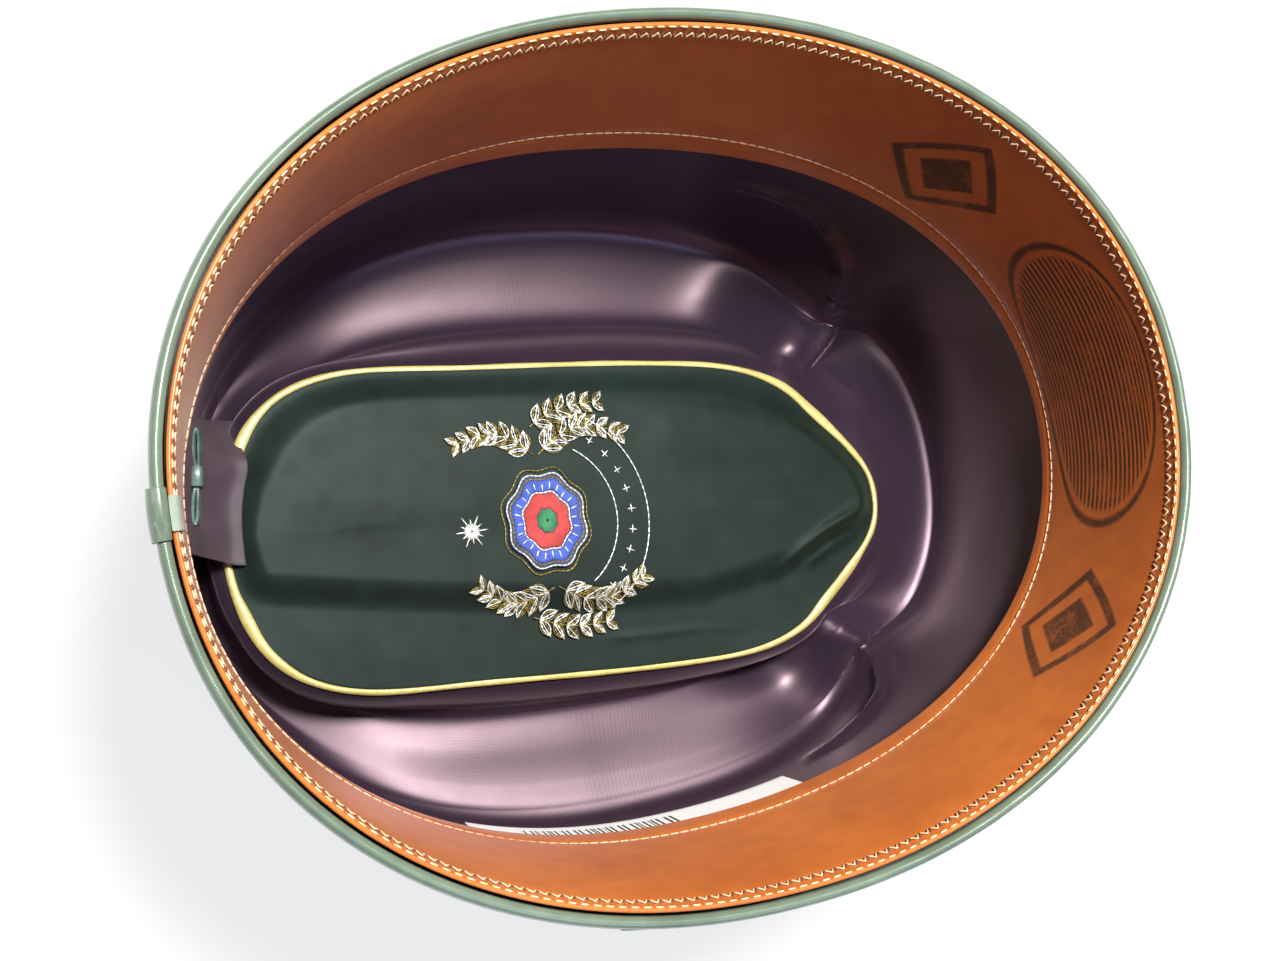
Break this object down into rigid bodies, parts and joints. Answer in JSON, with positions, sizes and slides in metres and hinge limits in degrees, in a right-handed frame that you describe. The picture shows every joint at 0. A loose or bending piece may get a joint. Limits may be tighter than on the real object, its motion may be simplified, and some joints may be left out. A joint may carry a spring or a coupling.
{
  "type": "felt dress hat",
  "caption": "Brimless felt dress hat lying on its crown, opening up: creased crown, satin lining, leather sweatband, rolled welt at the rim, and a ticket that slides out from behind the band.",
  "frame": {"origin": "middle of the hat in plan, at the level that its crown rests on", "axes": "+X towards the front of the hat, +Y towards the wearer's right, +Z out of the opening; the hat lies on its crown"},
  "size_m": [0.2114, 0.1737, 0.115],
  "materials": {
    "felt": "matt dark green fur felt",
    "welt_ribbon": "glossy ribbed green ribbon",
    "reed": "smooth cream reed",
    "tape": "woven green-grey tape",
    "leather": "polished tan leather",
    "seam_tape": "dark woven tape",
    "tab": "pale green woven tab",
    "ribbon": "dark green ribbed ribbon",
    "satin_side": "plum satin",
    "satin_tip": "dark green satin",
    "backing": "stiff woven backing",
    "piping": "gold cord",
    "rosette": "woven patch",
    "paper": "white paper card"
  },
  "bodies": {
    "hat": {"felt_crown": "felt", "edge_welt": "welt_ribbon", "welt_reed": "reed", "welt_join_wrap": "welt_ribbon", "reed_tape": "tape", "sweatband": "leather", "sweatband_seam_tape": "seam_tape", "sweatband_tab": "tab", "sweatband_bow": "ribbon", "sweatband_bow_knot": "ribbon", "lining_side": "satin_side", "lining_lap": "satin_side", "lining_tip": "satin_tip", "tip_backing": "backing", "tip_piping": "piping", "tip_rosette": "rosette", "hat_ribbon": "ribbon", "ribbon_bow_tail": "ribbon", "ribbon_bow_loops": "ribbon", "ribbon_bow_knot": "ribbon"},
    "ticket": {"ticket": "paper"}
  },
  "joints": [
    {"name": "ticket_slide", "type": "slide", "parent": "hat", "child": "ticket", "axis": [0, 0.1203, -0.9927], "range_m": [0, 0.018]}
  ]
}
